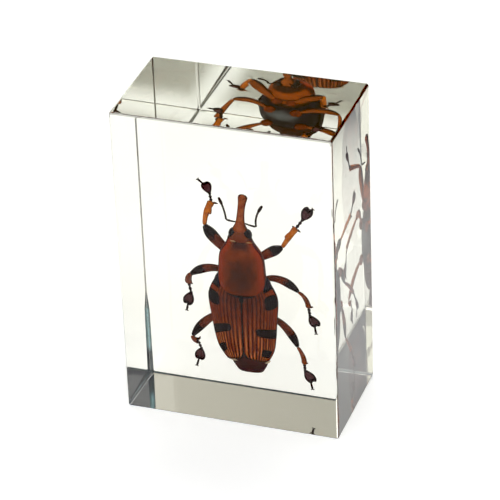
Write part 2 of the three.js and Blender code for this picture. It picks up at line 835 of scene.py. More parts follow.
@dataclass
class Section:
    """One cross-section of a lofted part, in millimetres.

    Attributes:
        centre: the middle of the section.
        width: half of its width, along side.
        back: its height from the centre away from depth.
        belly: its height from the centre along depth.
        side: the direction of its width.
        depth: the direction from the weevil's back to its belly.
        power: the power of its superellipse; 2 is an ellipse and more is boxier.
        lobe: how far its flanks run ahead of its middle.
    """

    centre: Vector
    width: float
    back: float
    belly: float
    side: Vector = field(default_factory=lambda: Vector((1, 0, 0)))
    depth: Vector = field(default_factory=lambda: Vector((0, 1, 0)))
    power: float = 2.0
    lobe: float = 0.0

    def point(self, angle: float) -> Vector:
        """Give the outline's point at an angle, from side towards depth."""
        across = self._squared(math.cos(angle))
        down = self._squared(math.sin(angle))
        height = self.belly if down > 0 else self.back
        ahead = self.side.cross(self.depth) * (self.lobe * across * across)
        return self.centre + self.side * (self.width * across) + self.depth * (height * down) + ahead

    def _squared(self, value: float) -> float:
        """Bend a sine or cosine to the superellipse's power."""
        return math.copysign(abs(value) ** (2.0 / self.power), value)


class Clay:
    """A bmesh being shaped in millimetres, and its hand-over to Blender as a piece."""

    def __init__(self) -> None:
        """Start an empty mesh that carries its place along, across and down the part at each vertex."""
        self.mesh = bmesh.new()
        self.along = self.mesh.verts.layers.float.new("along")
        self.across = self.mesh.verts.layers.float.new("across")
        self.down = self.mesh.verts.layers.float.new("down")

    def loft(self, sections: Sequence[Section], count: int, start: float = 0.0, end: float = 1.0) -> None:
        """Skin a row of sections and close both ends.

        Args:
            sections: the sections in order.
            count: vertices around each.
            start: the along value of the first section.
            end: the along value of the last section.
        """
        places = steps(start, end, len(sections))
        rings = [self._ring(section, count, along) for section, along in zip(sections, places)]
        for ring, following in zip(rings, rings[1:]):
            bmesh.ops.bridge_loops(self.mesh, edges=ring + following)
        for ring in (rings[0], rings[-1]):
            bmesh.ops.edgeloop_fill(self.mesh, edges=ring)

    def _ring(self, section: Section, count: int, along: float) -> list[bmesh.types.BMEdge]:
        """Lay one section's loop of edges."""
        verts = bmesh.ops.create_circle(self.mesh, segments=count, radius=1.0)["verts"]
        for vert in verts:
            angle = math.atan2(vert.co.y, vert.co.x)
            vert[self.along] = along
            vert[self.across] = math.cos(angle)
            vert[self.down] = math.sin(angle)
            vert.co = section.point(angle)
        return list({edge for vert in verts for edge in vert.link_edges})

    def tube(
        self, path: Sequence[Vector], radii: Sequence[float], count: int, flat: float = 1.0,
        start: float = 0.0, end: float = 1.0,
    ) -> None:
        """Skin a round limb along a path.

        Args:
            path: the points that it follows.
            radii: half its width at each point.
            count: vertices around.
            flat: its depth as a share of its width.
            start: the along value of its first point.
            end: the along value of its last point.
        """
        sections = []
        for index, (centre, radius) in enumerate(zip(path, radii)):
            ahead = (path[min(index + 1, len(path) - 1)] - path[max(index - 1, 0)]).normalized()
            side = side_of(ahead)
            inward = ahead.cross(side)
            sections.append(Section(centre, radius, radius * flat, radius * flat, side, inward))
        self.loft(sections, count, start, end)

    def ball(
        self, centre: Vector, radii: Sequence[float], turn: Matrix | None = None, detail: int = 2,
    ) -> None:
        """Add an ellipsoid.

        Args:
            centre: its centre.
            radii: its three radii.
            turn: the turn of its axes.
            detail: the subdivision of the icosphere that it starts from.
        """
        shape = Matrix.Translation(centre) @ (turn or Matrix()) @ Matrix.Diagonal((*radii, 1.0))
        bmesh.ops.create_icosphere(self.mesh, subdivisions=detail, radius=1.0, matrix=shape)

    def piece(
        self, name: str, material: bpy.types.Material, slot: Slot, smooth: int = 1,
        pose: Matrix | None = None, shell: float = 0.0, facets: bool = False,
    ) -> bpy.types.Object:
        """Finish the mesh as a piece of the block.

        Args:
            name: the piece's name.
            material: its material.
            slot: its slot in the record.
            smooth: subdivision levels.
            pose: where the part's own frame stands in the block, in millimetres.
            shell: the thickness that an open skin gets, inwards, in millimetres.
            facets: whether the faces stay flat.

        Returns:
            The piece.
        """
        matrix = Matrix.Scale(MM, 4) @ (pose or Matrix())
        bmesh.ops.transform(self.mesh, matrix=matrix, verts=self.mesh.verts)
        bmesh.ops.recalc_face_normals(self.mesh, faces=self.mesh.faces)
        for face in self.mesh.faces:
            face.smooth = not facets
        data = bpy.data.meshes.new(name)
        self.mesh.to_mesh(data)
        self.mesh.free()
        made = add_object(name, data)
        data.materials.append(material)
        if shell:
            wall = made.modifiers.new("wall", "SOLIDIFY")
            wall.thickness = shell * MM
            wall.offset = -1.0
        if smooth:
            round_off = made.modifiers.new("round_off", "SUBSURF")
            round_off.levels = round_off.render_levels = smooth
        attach(made, "root")
        LOG.info("%s: %d faces, slot %s", name, len(data.polygons), slot.value)
        return made


# ---- The block ----


@dataclass
class ResinBlock:
    """The polished casting, which stands for the CAD block.

    Attributes:
        node: the CAD block's node.
        chamfer: the width that the ground back edges take off each face.
        radius: the radius of the other edges.
        facets: the flat strips round each of those.
        foot_extra: how much more the back edge takes off the foot face.
        worn: how much further the back left upright edge is ground, by height.
        worn_inward: how much of that goes off the side face, as a share.
    """

    node: str = "resin_block"
    chamfer: float = 0.2
    radius: float = 0.42
    facets: int = 5
    foot_extra: float = 0.25
    worn: Profile = Profile((0.0, 0.42), (13.5, 0.3), (17.5, -0.04))
    worn_inward: float = 0.6

    def build(self) -> bpy.types.Object:
        """Shape the block in the CAD block's own box."""
        low, high = (Vector(corner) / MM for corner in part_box(self.node))
        clay = Clay()
        shape = Matrix.Translation((low + high) / 2) @ Matrix.Diagonal((*(high - low), 1.0))
        bmesh.ops.create_cube(clay.mesh, size=1.0, matrix=shape)
        self._round(clay, low.y, 0.0, self.radius, self.facets)
        self._round(clay, high.y, high.y, self.chamfer, 1)
        self._grind(clay, low, high)
        half = (high - low) / 2
        finish = ResinFinish(tuple(half), (low.z + high.z) / 2)
        block = clay.piece("clear_block", finish.make(), Slot.RESIN, smooth=0, facets=True)
        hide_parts(self.node)
        return block

    def _round(self, clay: Clay, first: float, last: float, width: float, facets: int) -> None:
        """Take edges off the block.

        Args:
            clay: the block.
            first: the least depth of the edges' foremost points.
            last: the greatest depth of those points.
            width: how much goes off each face.
            facets: the flat strips across each edge.
        """
        edges = [
            edge for edge in clay.mesh.edges
            if first - TINY < min(vert.co.y for vert in edge.verts) < last + TINY
        ]
        bmesh.ops.bevel(
            clay.mesh, geom=edges, offset=width, offset_type="OFFSET",
            affect="EDGES", segments=facets, profile=0.5, material=-1,
        )

    def _grind(self, clay: Clay, low: Vector, high: Vector) -> None:
        """Take the foot's back edge and the worn upright edge back by hand.

        Args:
            clay: the block with its edges off.
            low: the block's low corner.
            high: the block's high corner.
        """
        near = self.radius * 1.2
        for height, _ in self.worn.points[1:]:
            cut = clay.mesh.verts[:] + clay.mesh.edges[:] + clay.mesh.faces[:]
            bmesh.ops.bisect_plane(clay.mesh, geom=cut, plane_co=(0, 0, height), plane_no=(0, 0, 1))
        for vert in clay.mesh.verts:
            if vert.co.z < TINY:
                vert.co.y -= self.foot_extra if vert.co.y > 0 else 0.0
            if vert.co.x < low.x + near and vert.co.y > high.y - near:
                ground = self.worn(vert.co.z)
                if vert.co.x > low.x + TINY:
                    vert.co.x += ground
                if vert.co.y < high.y - TINY:
                    vert.co.y -= ground if ground < 0 else ground * self.worn_inward


# ---- The weevil's trunk ----


@dataclass(frozen=True)
class Stance:
    """Where the trunk's own frame hangs in the block, in millimetres.

    In that frame X runs across, Y from back to belly and Z towards the head, with heights along
    Z counted from the block's foot.
    """

    centre_x: float = 1.32
    centre_y: float = -2.0
    roll: float = math.radians(6.0)

    def matrix(self) -> Matrix:
        """Give the matrix from the trunk's frame to the block's."""
        return Matrix.Translation((self.centre_x, self.centre_y, 0.0)) @ Matrix.Rotation(self.roll, 4, "Z")


@dataclass
class Pronotum:
    """The big front shield."""

    stance: Stance
    rear: float = 24.75
    front: float = 36.2
    width: Profile = Profile(
        (24.75, 3.1), (25.1, 3.6), (25.8, 4.05), (27.5, 4.42), (29.5, 4.36), (31.5, 4.22), (32.6, 4.03),
        (33.6, 3.6), (34.4, 2.98), (35.1, 2.52), (35.7, 2.3), (36.2, 2.2),
    )
    back: Profile = Profile(
        (24.75, 3.75), (25.1, 3.95), (25.8, 4.12), (27.5, 4.2), (29.5, 4.1), (31.5, 3.85), (33.0, 3.4),
        (34.4, 2.75), (35.3, 2.3), (36.2, 1.95),
    )
    belly: Profile = Profile(
        (24.75, 2.9), (25.6, 3.4), (28.4, 3.7), (30.6, 3.75), (32.4, 3.65), (34.0, 3.3), (36.2, 2.5),
    )
    lean: Profile = Profile((32.5, 0.0), (34.5, 0.12), (36.2, 0.36))
    sway: Profile = Profile((31.5, 0.0), (34.5, -0.12), (36.2, -0.2))
    rings: int = 30

    def build(self) -> bpy.types.Object:
        """Shape and dress the shield, whose front rim leans back over the neck."""
        sections = []
        for height in steps(self.rear, self.front, self.rings):
            lean = self.lean(height)
            sections.append(Section(
                Vector((self.sway(height), 0, height)),
                self.width(height), self.back(height), self.belly(height),
                depth=Vector((0, math.cos(lean), math.sin(lean))), power=2.15,
            ))
        clay = Clay()
        clay.loft(sections, count=40)
        finish = PronotumFinish("pronotum_cuticle", paint(150, 64, 20), paint(124, 50, 18))
        return clay.piece("pronotum", finish.make(), Slot.CUTICLE, pose=self.stance.matrix())


@dataclass
class Elytron:
    """One ribbed wing case.

    Attributes:
        front_middle: the height of its front edge at the suture.
        front_shoulder: the height of that edge's highest point.
        rear_suture: the height of its rear edge at the suture.
        rear_middle: the height of that edge's lowest point.
        width: half of the trunk's width under the case, by height.
        narrow: how much of that width the case spans, by height.
        back: how far the case stands off the trunk's middle, by height.
        power: the power of its superellipse.
        wrap: how far it reaches round, in quarter turns.
        wall: its thickness.
        rim: the across fraction from which its margin is painted black as outline shade.
        seam: its distance from the suture.
        gape: how much further it parts from the suture at the tail.
        gape_from: the along fraction from which it does.
    """

    stance: Stance
    side: Side
    marks: tuple[Mark, ...]
    narrow: Profile
    front_middle: float = 25.2
    front_shoulder: float = 26.9
    rear_suture: float = 11.9
    rear_middle: float = 11.1
    width: Profile = Profile(
        (10.6, 3.9), (11.9, 4.75), (13.5, 5.42), (15.5, 5.72), (18.0, 6.0), (20.5, 6.28), (23.0, 6.45),
        (24.6, 6.3), (26.0, 5.75), (27.2, 5.1),
    )
    back: Profile = Profile(
        (10.6, 2.0), (11.9, 2.6), (13.5, 3.25), (15.5, 3.7), (18.0, 4.0), (21.0, 4.05), (24.0, 3.7),
        (25.2, 3.4), (26.0, 3.15), (27.2, 2.7),
    )
    power: float = 2.35
    wrap: float = 1.13
    grooves: int = 14
    groove_depth: float = 0.09
    lanes: int = 99
    rows: int = 96
    wall: float = 0.16
    rim: float = 0.9
    seam: float = 0.01
    gape: float = 0.34
    gape_from: float = 0.86

    def skin(self, across: float, along: float) -> Vector:
        """Give the smooth case's point.

        Args:
            across: 0 at the suture and 1 at the outer rim.
            along: 0 at the shoulder and 1 at the tail.

        Returns:
            The point in the trunk's frame.
        """
        shoulder = math.sin(math.pi * min(across / 1.5, 1.0))
        front = self.front_middle + (self.front_shoulder - self.front_middle) * shoulder
        rear = self.rear_suture + (self.rear_middle - self.rear_suture) * math.sin(math.pi * across * 0.75)
        height = front + (rear - front) * along
        angle = across * self.wrap * math.pi / 2
        reach = math.sin(min(angle, math.pi / 2)) ** (2 / self.power)
        sideways = self.width(height) * self.narrow(height) * reach
        if angle > math.pi / 2:
            sideways *= 1 - 0.5 * (angle - math.pi / 2) ** 2
        up = math.cos(angle)
        lift = self.back(height) * math.copysign(abs(up) ** (2 / self.power), up)
        gape = self.gape * max(0.0, (along - self.gape_from) / (1 - self.gape_from)) ** 2
        parting = self.seam + gape * (1 - across)
        return Vector((self.side.value * (sideways + parting), -lift, height))

    def build(self) -> bpy.types.Object:
        """Shape and dress the case."""
        clay = Clay()
        grid = bmesh.ops.create_grid(clay.mesh, x_segments=self.lanes, y_segments=self.rows, size=0.5)
        for vert in grid["verts"]:
            across, along = vert.co.x + 0.5, vert.co.y + 0.5
            vert[clay.across] = across
            vert[clay.along] = along
            vert.co = self._ribbed(across, along)
        finish = ElytronFinish(
            f"wing_case_{self.side.name.lower()}", paint(150, 60, 24), paint(118, 45, 21), marks=self.marks,
            grooves=self.grooves, rim=self.rim,
        )
        name = f"elytron_{self.side.name.lower()}"
        pose = self.stance.matrix()
        return clay.piece(name, finish.make(), Slot.CUTICLE, smooth=0, pose=pose, shell=self.wall)

    def _ribbed(self, across: float, along: float) -> Vector:
        """Sink the grooves into the smooth case."""
        small = 1e-3  # the step of the slopes, as a fraction of the case
        here = self.skin(across, along)
        sideways = self.skin(min(across + small, 1.0), along) - self.skin(max(across - small, 0.0), along)
        lengthways = self.skin(across, min(along + small, 1.0)) - self.skin(across, max(along - small, 0.0))
        outward = sideways.cross(lengthways).normalized() * self.side.value
        phase = across * self.grooves
        dip = abs(math.cos(math.pi * phase)) ** 6
        return here - outward * (self.groove_depth * dip)


@dataclass
class Scutellum:
    """The small dark shield between the wing cases."""

    stance: Stance
    centre: Point = (0.0, -3.95, 24.7)
    radii: Point = (0.42, 0.22, 0.85)

    def build(self) -> bpy.types.Object:
        """Shape and dress the shield."""
        clay = Clay()
        clay.ball(Vector(self.centre), self.radii)
        finish = CuticleFinish("scutellum_cuticle", paint(30, 28, 30), paint(18, 18, 22))
        return clay.piece("scutellum", finish.make(), Slot.DARK, pose=self.stance.matrix())


@dataclass
class Thorax:
    """The dark mid and hind thorax under the wing cases, with its shoulders."""

    stance: Stance
    rear: float = 16.6
    front: float = 28.8
    width: Profile = Profile(
        (16.6, 5.0), (18.0, 5.6), (21.0, 5.95), (24.0, 5.9), (25.8, 5.6), (27.4, 5.15),
        (28.4, 4.7), (28.8, 4.1),
    )
    back: Profile = Profile((16.6, 0.6), (24.0, 0.9), (26.0, 2.2), (28.0, 2.0), (28.8, 1.0))
    belly: Profile = Profile((16.6, 3.8), (19.0, 4.4), (24.0, 4.7), (27.0, 4.1), (28.8, 2.5))
    rings: int = 18

    def build(self) -> bpy.types.Object:
        """Shape and dress the thorax."""
        sections = []
        for height in steps(self.rear, self.front, self.rings):
            centre = Vector((0, 0, height))
            sections.append(
                Section(centre, self.width(height), self.back(height), self.belly(height), power=2.3)
            )
        clay = Clay()
        clay.loft(sections, count=36)
        finish = BreastFinish("thorax_cuticle", paint(42, 38, 52), paint(30, 28, 40), roughness=0.35)
        return clay.piece("thorax", finish.make(), Slot.DARK, pose=self.stance.matrix())


@dataclass
class Abdomen:
    """The ringed abdomen under the wing cases."""

    stance: Stance
    rear: float = 11.2
    front: float = 17.6
    shift: float = 0.4
    width: Profile = Profile((11.2, 3.3), (12.2, 3.9), (13.5, 4.5), (15.0, 4.95), (17.6, 5.2))
    belly: Profile = Profile((11.2, 2.2), (12.2, 3.0), (13.5, 3.6), (15.0, 3.95), (17.6, 4.2))
    back: float = 1.2
    plates: int = 4
    step: float = 0.16
    outline: tuple[tuple[float, float], ...] = ((0.04, 1.0), (0.16, 0.0), (0.84, 0.0), (0.96, 0.4))

    def build(self) -> bpy.types.Object:
        """Shape and dress the abdomen plate by plate."""
        clay = Clay()
        sections = []
        length = (self.front - self.rear) / self.plates
        for plate in range(self.plates):
            for share, stepped in self.outline:
                inset = self.step * stepped
                height = self.rear + length * (plate + share)
                centre = Vector((self.shift, 0, height))
                width = self.width(height) - inset
                sections.append(Section(centre, width, self.back, self.belly(height) - inset, power=2.3))
        clay.loft(sections, count=36)
        finish = CuticleFinish("belly_cuticle", paint(92, 40, 30), paint(40, 26, 28))
        return clay.piece("abdomen", finish.make(), Slot.CUTICLE, pose=self.stance.matrix())


@dataclass
class Pygidium:
    """The tail plate that shows past the wing cases."""

    stance: Stance
    shift: float = 0.82
    front: float = 12.6
    tip: float = 7.7
    tip_depth: float = 1.6
    slope: float = 2.4
    width: Profile = Profile((7.7, 2.0), (7.95, 2.25), (9.0, 2.8), (10.2, 3.3), (11.4, 3.5), (12.6, 3.4))
    back: float = 0.95
    belly: float = 0.8
    rings: int = 12

    def build(self) -> bpy.types.Object:
        """Shape and dress the plate."""
        sections = []
        for share in steps(0.0, 1.0, self.rings):
            height = self.tip + (self.front - self.tip) * share
            centre = Vector((self.shift, self.tip_depth - self.slope * share, height))
            sections.append(Section(centre, self.width(height), self.back, self.belly, power=2.4))
        clay = Clay()
        clay.loft(sections, count=32)
        finish = CuticleFinish("pygidium_cuticle", paint(84, 36, 34), paint(56, 26, 28))
        return clay.piece("pygidium", finish.make(), Slot.CUTICLE, pose=self.stance.matrix())


# ---- The weevil's head ----


@dataclass
class Head:
    """The head capsule with its snout, in the block's frame."""

    neck: Point = (1.22, -1.6, 34.6)
    crown: Point = (1.12, -1.3, 37.3)
    tip: Point = (1.62, 0.45, 44.1)
    bow: Point = (-0.12, -0.35, 0.0)
    capsule: tuple[tuple[float, float], ...] = (
        (0.0, 1.7), (0.25, 2.15), (0.5, 2.2), (0.75, 1.9), (0.95, 1.4), (1.1, 1.05),
    )
    snout: Profile = Profile(
        (0.0, 1.5), (0.09, 1.42), (0.17, 1.12), (0.26, 0.86), (0.4, 0.74), (0.6, 0.68),
        (0.78, 0.74), (0.92, 0.9), (0.98, 0.78), (1.0, 0.4),
    )
    snout_rings: int = 22
    snout_from: float = 0.9

    def build(self) -> bpy.types.Object:
        """Shape and dress the capsule and the snout as one piece."""
        neck, crown, tip = Vector(self.neck), Vector(self.crown), Vector(self.tip)
        clay = Clay()
        spine = [neck.lerp(crown, share) for share, _ in self.capsule]
        clay.tube(spine, [radius for _, radius in self.capsule], count=32, flat=0.95, start=0.0, end=0.3)
        base = neck.lerp(crown, self.snout_from)
        path = bowed(base, tip, Vector(self.bow), self.snout_rings)
        clay.tube(path, self.snout.spread(self.snout_rings), count=24, flat=0.92, start=0.3, end=1.0)
        # Its dark outline along the sides is painted shade, strong here.
        finish = LimbFinish(
            "head_cuticle", paint(204, 108, 58), paint(164, 78, 46), turn=0.955, blur=0.03,
            tip=paint(52, 26, 20), root=paint(138, 66, 38), root_turn=0.36, rim=0.9,
        )
        return clay.piece("head", finish.make(), Slot.CUTICLE)


@dataclass
class Eye:
    """One large eye on the side of the head, in the block's frame."""

    side: Side
    centre: Point = (1.13, -1.3, 36.72)
    spread: float = 1.3
    radii: Point = (0.85, 1.5, 1.08)
    lean: float = math.radians(-20.0)

    def build(self, material: bpy.types.Material) -> bpy.types.Object:
        """Shape and dress the eye."""
        centre = Vector(self.centre) + Vector((self.side.value * self.spread, 0.0, 0.0))
        lean = Matrix.Rotation(self.side.value * self.lean, 4, "Y")
        clay = Clay()
        clay.ball(centre, self.radii, turn=lean, detail=3)
        return clay.piece(f"eye_{self.side.name.lower()}", material, Slot.DARK)


@dataclass
class Lens:
    """A thin pale sliver that carries a painted highlight, used for the golden hair tufts at the collar and
    the cream glints at the tail.

    Attributes:
        name: the piece's name.
        first: one end.
        last: the other end.
        width: half of its width.
        bow: how far its middle stands off the straight line.
        blunt: the width of its ends as a share.
    """

    name: str
    first: Point
    last: Point
    width: float
    bow: Point = (0.0, 0.0, 0.0)
    blunt: float = 0.12
    points: int = 9

    def build(self, material: bpy.types.Material) -> bpy.types.Object:
        """Shape and dress the sliver."""
        clay = Clay()
        path = bowed(Vector(self.first), Vector(self.last), Vector(self.bow), self.points)
        swell = (abs(math.sin(math.pi * share)) ** 0.7 for share in steps(0.0, 1.0, self.points))
        radii = [self.width * (self.blunt + bulge) for bulge in swell]
        clay.tube(path, radii, count=10, flat=0.4)
        return clay.piece(self.name, material, Slot.CUTICLE)


@dataclass
class Antenna:
    """One elbowed feeler, in the block's frame.

    Attributes:
        root: where it leaves the snout.
        elbow: its elbow.
        tip: the end of its club.
        bow: how far the beaded part's middle stands off the straight line.
        joints: the number of beads.
        beads_end: the share of the way from elbow to tip where the beads end.
        club_start: the share where the club sets in.
        club_length: the share over which it would close again.
    """

    side: Side
    root: Point
    elbow: Point
    tip: Point
    bow: Point
    shaft_radii: tuple[float, ...] = (0.16, 0.17, 0.18, 0.2, 0.24, 0.16)
    joints: int = 7
    neck_radius: float = 0.16
    bead_height: float = 0.06
    beads_end: float = 0.66
    club_radius: float = 0.32
    club_start: float = 0.6
    club_length: float = 0.46
    end_radius: float = 0.06
    rings: int = 60

    def build(self, material: bpy.types.Material) -> bpy.types.Object:
        """Shape the shaft, the beads and the club."""
        root, elbow, tip = Vector(self.root), Vector(self.elbow), Vector(self.tip)
        clay = Clay()
        shaft = bowed(root, elbow, Vector((0, 0, -0.08)), len(self.shaft_radii))
        clay.tube(shaft, self.shaft_radii, count=10)
        lash = bowed(elbow, tip, Vector(self.bow), self.rings)
        radii = [self._radius(share) for share in steps(0.0, 1.0, self.rings)]
        radii[-1] = self.end_radius
        clay.tube(lash, radii, count=10)
        return clay.piece(f"antenna_{self.side.name.lower()}", material, Slot.DARK)

    def _radius(self, share: float) -> float:
        """Give the radius a share of the way from the elbow to the tip."""
        wave = abs(math.sin(math.pi * self.joints * share / self.beads_end))
        bead = self.neck_radius + self.bead_height * wave
        if share >= self.beads_end:
            bead = 2 * self.end_radius
        if share <= self.club_start:
            return bead
        swell = math.sin(math.pi * (share - self.club_start) / self.club_length)
        return max(bead, self.club_radius * swell**0.7)


# ---- The weevil's legs ----


class Rank(Enum):
    """The three pairs of legs."""

    FRONT = "front"
    MIDDLE = "middle"
    HIND = "hind"


@dataclass
class LegFinishes:
    """The materials that the legs share."""

    femur: bpy.types.Material
    bright_tibia: bpy.types.Material
    tibia: bpy.types.Material
    tarsus: bpy.types.Material


@dataclass
class Leg:
    """One leg as it is set in the resin, in the block's frame.

    Attributes:
        coxa: where it leaves the trunk.
        knee: the joint of thigh and shin.
        ankle: the end of the shin.
        pad_root: where the heart-shaped pad starts.
        pad: the middle of the pad.
        claw: the root of the claws.
        femur_bow: how far the thigh's middle stands off the straight line.
        tibia_bow: the same for the shin.
        femur_width: half of the thigh's greatest width.
        tibia_width: half of the shin's width.
        spurs: how far each end spur reaches, negative to the left as the shin points ahead.
        knob: where along the shin its inner knob stands, and how far to the side.
        notch: how deep the pad's notch is, as a share of its length.
    """

    rank: Rank
    side: Side
    coxa: Point
    knee: Point
    ankle: Point
    pad_root: Point
    pad: Point
    claw: Point
    femur_bow: Point = (0.0, 0.0, 0.0)
    tibia_bow: Point = (0.0, 0.0, 0.0)
    femur_width: float = 1.0
    tibia_width: float = 0.5
    spurs: tuple[float, ...] = (-0.6,)
    knob: tuple[float, float] | None = None
    notch: float = 0.24
    hip_radii: Point = (1.15, 0.95, 1.15)
    spur_radii: Point = (0.28, 0.23, 0.05)
    knob_radii: Point = (0.3, 0.42, 0.3)
    claw_radii: Point = (0.14, 0.13, 0.03)
    stem_radii: tuple[float, ...] = (0.15, 0.17, 0.25, 0.22)
    stem_places: tuple[float, ...] = (0.15, 0.45, 0.8, 1.0)
    femur_rings: int = 18
    tibia_rings: int = 14
    pad_rings: int = 14
    pad_back: float = 0.26
    pad_belly: float = 0.24
    thigh: Profile = Profile(
        (0.0, 0.42), (0.12, 0.5), (0.3, 0.76), (0.5, 0.92), (0.66, 1.02), (0.78, 0.98), (0.88, 0.78),
        (0.95, 0.55), (1.0, 0.42),
    )
    shin: Profile = Profile(
        (0.0, 0.62), (0.1, 0.78), (0.3, 0.86), (0.55, 1.05), (0.8, 1.08), (0.93, 1.22), (1.0, 1.12),
    )
    joint: Profile = Profile((0.0, 0.17), (0.3, 0.2), (0.85, 0.36), (1.0, 0.3))
    joint_places: tuple[float, ...] = (0.0, 0.3, 0.6, 0.85, 0.99)
    joint_share: float = 0.36
    joints: int = 3
    heart: Profile = Profile(
        (0.0, 0.2), (0.15, 0.5), (0.4, 0.86), (0.62, 1.04), (0.82, 0.98), (0.95, 0.7), (1.0, 0.45),
    )

    def build(self, finishes: LegFinishes) -> None:
        """Shape and dress the leg's three pieces."""
        self._build_femur(finishes.femur)
        bright = self.rank is Rank.FRONT
        self._build_tibia(finishes.bright_tibia if bright else finishes.tibia)
        self._build_tarsus(finishes.tarsus)

    def _name(self, part: str) -> str:
        """Name one of the leg's pieces."""
        return f"{part}_{self.rank.value}_{self.side.name.lower()}"

    def _build_femur(self, material: bpy.types.Material) -> None:
        """Shape the hip and the swollen thigh."""
        clay = Clay()
        coxa, knee = Vector(self.coxa), Vector(self.knee)
        clay.ball(coxa, self.hip_radii, detail=3)
        path = bowed(coxa, knee, Vector(self.femur_bow), self.femur_rings)
        clay.tube(path, self.thigh.spread(self.femur_rings, self.femur_width), count=20, flat=0.8)
        clay.piece(self._name("femur"), material, Slot.CUTICLE)

    def _build_tibia(self, material: bpy.types.Material) -> None:
        """Shape the shin with its inner knob and end spurs."""
        clay = Clay()
        knee, ankle = Vector(self.knee), Vector(self.ankle)
        path = bowed(knee, ankle, Vector(self.tibia_bow), self.tibia_rings)
        clay.tube(path, self.shin.spread(self.tibia_rings, self.tibia_width), count=16, flat=0.85)
        ahead = (ankle - knee).normalized()
        side = side_of(ahead)
        for reach in self.spurs:
            way = math.copysign(1.0, reach)
            root = ankle + side * (way * self.tibia_width * 0.5)
            tip = ankle + side * (way * self.tibia_width + reach) - ahead * 0.1
            spur = [root - ahead * 0.1, root.lerp(tip, 0.5), tip]
            clay.tube(spur, self.spur_radii, count=10, start=0.95)
        if self.knob is not None:
            share, reach = self.knob
            span = (ankle - knee).length
            foot = knee.lerp(ankle, share) + Vector(self.tibia_bow) * (4 * share * (1 - share))
            crest = foot + side * reach
            end = foot + side * reach * 0.5 + ahead * (span * 0.34)
            ridge = [crest - ahead * 0.12, crest + ahead * 0.25, end]
            clay.tube(ridge, self.knob_radii, count=12, start=share, end=0.8)
        clay.piece(self._name("tibia"), material, Slot.CUTICLE)

    def _build_tarsus(self, material: bpy.types.Material) -> None:
        """Shape the foot: three small joints, the heart-shaped pad, the last joint and its claws."""
        clay = Clay()
        ankle, root, pad, claw = (Vector(p) for p in (self.ankle, self.pad_root, self.pad, self.claw))
        chain, radii = [], []
        for index in range(self.joints):
            first, last = (ankle.lerp(root, number * self.joint_share) for number in (index, index + 1))
            for share in self.joint_places:
                chain.append(first.lerp(last, share))
                radii.append(self.joint(share))
        clay.tube(chain, radii, count=12, flat=0.8, start=0.0, end=0.4)
        self._add_pad(clay, root, pad)
        stem = [pad.lerp(claw, share) for share in self.stem_places]
        clay.tube(stem, self.stem_radii, count=10, start=0.8, end=1.0)
        ahead = (claw - pad).normalized()
        side = side_of(ahead)
        for way in (-1, 1):
            middle = claw + ahead * 0.12 + side * (way * 0.22)
            hook = [claw - ahead * 0.08, middle, claw + side * (way * 0.42)]
            clay.tube(hook, self.claw_radii, count=8, start=0.99, end=1.0)
        clay.piece(self._name("tarsus"), material, Slot.DARK)

    def _add_pad(self, clay: Clay, root: Vector, pad: Vector) -> None:
        """Shape the broad heart-shaped pad.

        Args:
            clay: the foot's mesh.
            root: where the pad starts.
            pad: its middle.
        """
        ahead = (pad - root).normalized()
        length = (pad - root).length * 2
        side = side_of(ahead)
        inward = ahead.cross(side)
        sections = []
        for share in steps(0.0, 1.0, self.pad_rings):
            centre = root + ahead * (length * (share * 0.84 - 0.02))
            lobe = self.notch * length * share**3
            width = self.heart(share)
            sections.append(Section(centre, width, self.pad_back, self.pad_belly, side, inward, lobe=lobe))
        clay.loft(sections, count=24, start=0.4, end=0.8)


# ---- The studio ----


@dataclass(frozen=True)
class SoftBox:
    """A square soft box that is aimed at the block, in metres and watts."""

    name: str
    place: Point
    size: float
    watts: float

    def hang(self) -> None:
        """Hang the lamp."""
        lamp = bpy.data.lights.new(self.name, "AREA")
        lamp.shape = "RECTANGLE"
        lamp.size = lamp.size_y = self.size
        lamp.energy = self.watts
        box = add_object(self.name, lamp)
        box.location = self.place
        box.rotation_euler = (-box.location).to_track_quat("-Z", "Y").to_euler()


